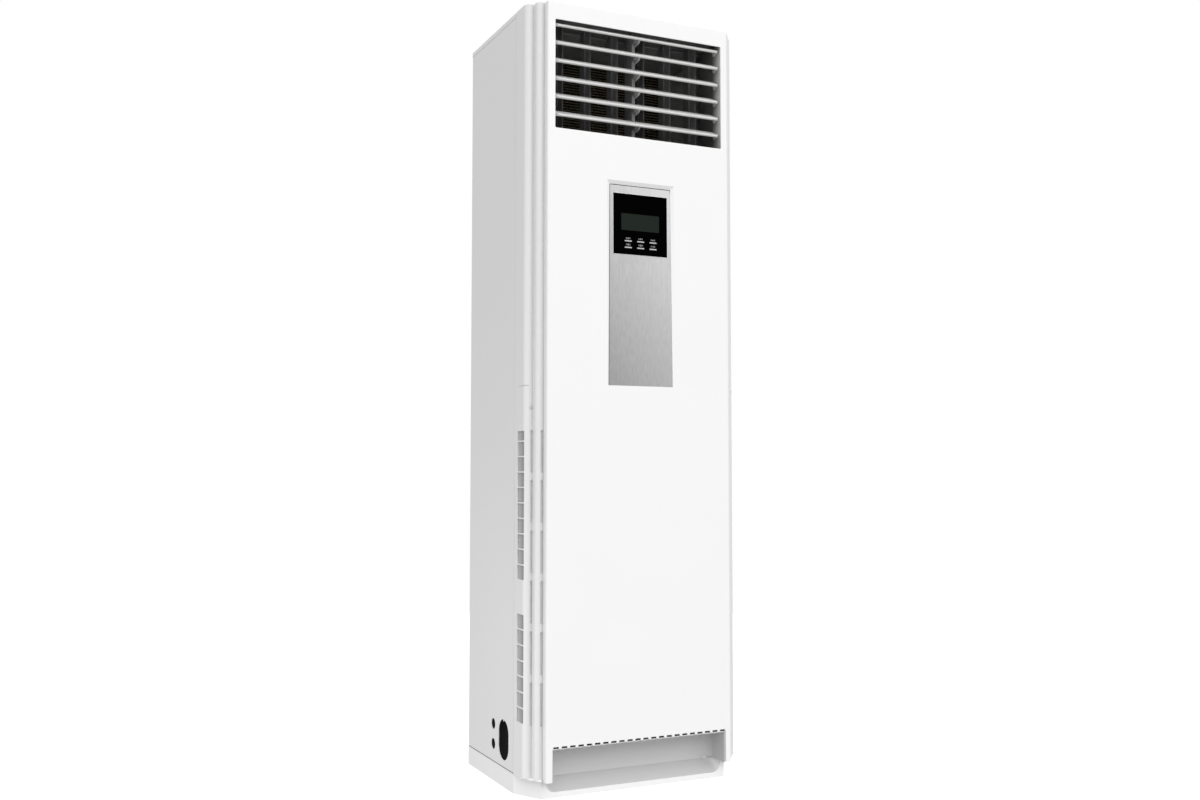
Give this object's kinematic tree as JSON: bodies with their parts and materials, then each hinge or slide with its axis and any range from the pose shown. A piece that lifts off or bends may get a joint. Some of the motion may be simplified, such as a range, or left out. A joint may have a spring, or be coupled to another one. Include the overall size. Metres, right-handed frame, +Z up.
{
  "type": "floor standing air conditioner",
  "caption": "Tall floor standing indoor cabinet with fluted intake corners, a tilting louvred outlet at the top of its front and a recessed control strip.",
  "frame": {"origin": "middle of the cabinet's footprint at floor level", "axes": "+Z up, +Y to the back, +X to the right of someone who faces the front"},
  "size_m": [0.54, 0.403, 1.77],
  "materials": {
    "panel_white": "smooth satin moulding",
    "column_white": "smooth satin moulding",
    "base_grey": "fine grained moulding",
    "sheet_white": "smooth powder coat",
    "louvre_grey": "smooth satin moulding",
    "frame_dark": "dark moulding",
    "trim_silver": "fine upright brushing",
    "window_black": "polished",
    "lcd_dark": "polished",
    "key_silver": "satin plating",
    "board_green": "solder mask",
    "fin_aluminium": "plain fin stock",
    "tube_copper": "drawn copper",
    "galvanised": "zinc coated sheet",
    "liner_dark": "dark foam liner",
    "pan_white": "plain moulding",
    "fan_grey": "plain moulding",
    "housing_grey": "plain moulding",
    "motor_black": "baked enamel",
    "nut_brass": "turned brass",
    "filter_mesh": "fine mesh in a thin border",
    "capacitor_case": "drawn can",
    "terminal_cream": "plain moulding",
    "screw_steel": "zinc plated"
  },
  "bodies": {
    "cabinet": {"base_pan": "base_grey", "toe_cover": "base_grey", "corner_column_left": "column_white", "corner_column_right": "column_white", "front_panel": "panel_white", "side_panel_left": "sheet_white", "side_panel_right": "sheet_white", "rear_panel": "galvanised", "cabinet_screws": "screw_steel", "top_cover": "column_white", "outlet_frame": "frame_dark", "louvre_cheek_left": "louvre_grey", "louvre_cheek_right": "louvre_grey", "centre_post": "frame_dark", "swing_motor": "motor_black", "trim_plate": "trim_silver", "display_window": "window_black", "lcd_panel": "lcd_dark", "display_board": "board_green", "deck_plate": "galvanised", "air_duct": "liner_dark", "drain_pan": "pan_white", "coil_fins": "fin_aluminium", "coil_end_plates": "galvanised", "coil_tubes": "tube_copper", "gas_pipe": "tube_copper", "liquid_pipe": "tube_copper", "flare_nuts": "nut_brass", "fan_housing": "housing_grey", "inlet_ring": "housing_grey", "fan_motor": "motor_black", "electrical_box": "galvanised", "box_cover": "galvanised", "control_board": "board_green", "terminal_block": "terminal_cream", "capacitor": "capacitor_case", "filter_left": "filter_mesh", "filter_right": "filter_mesh"},
    "louvre_1": {"louvre_1": "louvre_grey"},
    "louvre_2": {"louvre_2": "louvre_grey"},
    "louvre_3": {"louvre_3": "louvre_grey"},
    "louvre_4": {"louvre_4": "louvre_grey"},
    "louvre_5": {"louvre_5": "louvre_grey"},
    "louvre_6": {"louvre_6": "louvre_grey"},
    "louvre_link": {"louvre_link": "frame_dark"},
    "vane_1": {"vane_1": "frame_dark"},
    "vane_2": {"vane_2": "frame_dark"},
    "vane_3": {"vane_3": "frame_dark"},
    "vane_4": {"vane_4": "frame_dark"},
    "vane_5": {"vane_5": "frame_dark"},
    "vane_6": {"vane_6": "frame_dark"},
    "vane_link": {"vane_link": "frame_dark"},
    "fan": {"fan_wheel": "fan_grey", "fan_shaft": "galvanised"},
    "key_1": {"key_1": "key_silver"},
    "key_2": {"key_2": "key_silver"},
    "key_3": {"key_3": "key_silver"},
    "key_4": {"key_4": "key_silver"},
    "key_5": {"key_5": "key_silver"},
    "key_6": {"key_6": "key_silver"}
  },
  "joints": [
    {"name": "louvre_1_tilt", "type": "hinge", "parent": "cabinet", "child": "louvre_1", "pos_m": [0, -0.1745, 1.7206], "axis": [1, 0, 0], "range_deg": [-30, 30]},
    {"name": "louvre_2_tilt", "type": "hinge", "parent": "cabinet", "child": "louvre_2", "pos_m": [0, -0.1745, 1.6796], "axis": [1, 0, 0], "range_deg": [-30, 30]},
    {"name": "louvre_3_tilt", "type": "hinge", "parent": "cabinet", "child": "louvre_3", "pos_m": [0, -0.1745, 1.6386], "axis": [1, 0, 0], "range_deg": [-30, 30]},
    {"name": "louvre_4_tilt", "type": "hinge", "parent": "cabinet", "child": "louvre_4", "pos_m": [0, -0.1745, 1.5976], "axis": [1, 0, 0], "range_deg": [-30, 30]},
    {"name": "louvre_5_tilt", "type": "hinge", "parent": "cabinet", "child": "louvre_5", "pos_m": [0, -0.1745, 1.5566], "axis": [1, 0, 0], "range_deg": [-30, 30]},
    {"name": "louvre_6_tilt", "type": "hinge", "parent": "cabinet", "child": "louvre_6", "pos_m": [0, -0.1745, 1.5156], "axis": [1, 0, 0], "range_deg": [-30, 30]},
    {"name": "louvre_link_pivot", "type": "hinge", "parent": "louvre_1", "child": "louvre_link", "pos_m": [0, -0.13905, 1.71435], "axis": [1, 0, 0], "range_deg": [-30, 30]},
    {"name": "vane_1_swing", "type": "hinge", "parent": "cabinet", "child": "vane_1", "pos_m": [-0.175, -0.1205, 1.61], "axis": [0, 0, 1], "range_deg": [-28, 28]},
    {"name": "vane_2_swing", "type": "hinge", "parent": "cabinet", "child": "vane_2", "pos_m": [-0.105, -0.1205, 1.61], "axis": [0, 0, 1], "range_deg": [-28, 28]},
    {"name": "vane_3_swing", "type": "hinge", "parent": "cabinet", "child": "vane_3", "pos_m": [-0.035, -0.1205, 1.61], "axis": [0, 0, 1], "range_deg": [-28, 28]},
    {"name": "vane_4_swing", "type": "hinge", "parent": "cabinet", "child": "vane_4", "pos_m": [0.035, -0.1205, 1.61], "axis": [0, 0, 1], "range_deg": [-28, 28]},
    {"name": "vane_5_swing", "type": "hinge", "parent": "cabinet", "child": "vane_5", "pos_m": [0.105, -0.1205, 1.61], "axis": [0, 0, 1], "range_deg": [-28, 28]},
    {"name": "vane_6_swing", "type": "hinge", "parent": "cabinet", "child": "vane_6", "pos_m": [0.175, -0.1205, 1.61], "axis": [0, 0, 1], "range_deg": [-28, 28]},
    {"name": "vane_link_pivot", "type": "hinge", "parent": "vane_1", "child": "vane_link", "pos_m": [-0.175, -0.0985, 1.479], "axis": [0, 0, 1], "range_deg": [-28, 28]},
    {"name": "fan_spin", "type": "hinge", "parent": "cabinet", "child": "fan", "pos_m": [0, 0.0585, 0.47], "axis": [0, 1, 0], "continuous": true},
    {"name": "key_1_press", "type": "slide", "parent": "cabinet", "child": "key_1", "axis": [0, 1, 0], "range_m": [0, 0.0008], "stiffness_N_per_m": 400, "springref_m": -0.0002},
    {"name": "key_2_press", "type": "slide", "parent": "cabinet", "child": "key_2", "axis": [0, 1, 0], "range_m": [0, 0.0008], "stiffness_N_per_m": 400, "springref_m": -0.0002},
    {"name": "key_3_press", "type": "slide", "parent": "cabinet", "child": "key_3", "axis": [0, 1, 0], "range_m": [0, 0.0008], "stiffness_N_per_m": 400, "springref_m": -0.0002},
    {"name": "key_4_press", "type": "slide", "parent": "cabinet", "child": "key_4", "axis": [0, 1, 0], "range_m": [0, 0.0008], "stiffness_N_per_m": 400, "springref_m": -0.0002},
    {"name": "key_5_press", "type": "slide", "parent": "cabinet", "child": "key_5", "axis": [0, 1, 0], "range_m": [0, 0.0008], "stiffness_N_per_m": 400, "springref_m": -0.0002},
    {"name": "key_6_press", "type": "slide", "parent": "cabinet", "child": "key_6", "axis": [0, 1, 0], "range_m": [0, 0.0008], "stiffness_N_per_m": 400, "springref_m": -0.0002}
  ],
  "couplings": [
    {"joint": "louvre_2_tilt", "follows": "louvre_1_tilt", "ratio": 1},
    {"joint": "louvre_3_tilt", "follows": "louvre_1_tilt", "ratio": 1},
    {"joint": "louvre_4_tilt", "follows": "louvre_1_tilt", "ratio": 1},
    {"joint": "louvre_5_tilt", "follows": "louvre_1_tilt", "ratio": 1},
    {"joint": "louvre_6_tilt", "follows": "louvre_1_tilt", "ratio": 1},
    {"joint": "louvre_link_pivot", "follows": "louvre_1_tilt", "ratio": -1},
    {"joint": "vane_2_swing", "follows": "vane_1_swing", "ratio": 1},
    {"joint": "vane_3_swing", "follows": "vane_1_swing", "ratio": 1},
    {"joint": "vane_4_swing", "follows": "vane_1_swing", "ratio": 1},
    {"joint": "vane_5_swing", "follows": "vane_1_swing", "ratio": 1},
    {"joint": "vane_6_swing", "follows": "vane_1_swing", "ratio": 1},
    {"joint": "vane_link_pivot", "follows": "vane_1_swing", "ratio": -1}
  ]
}
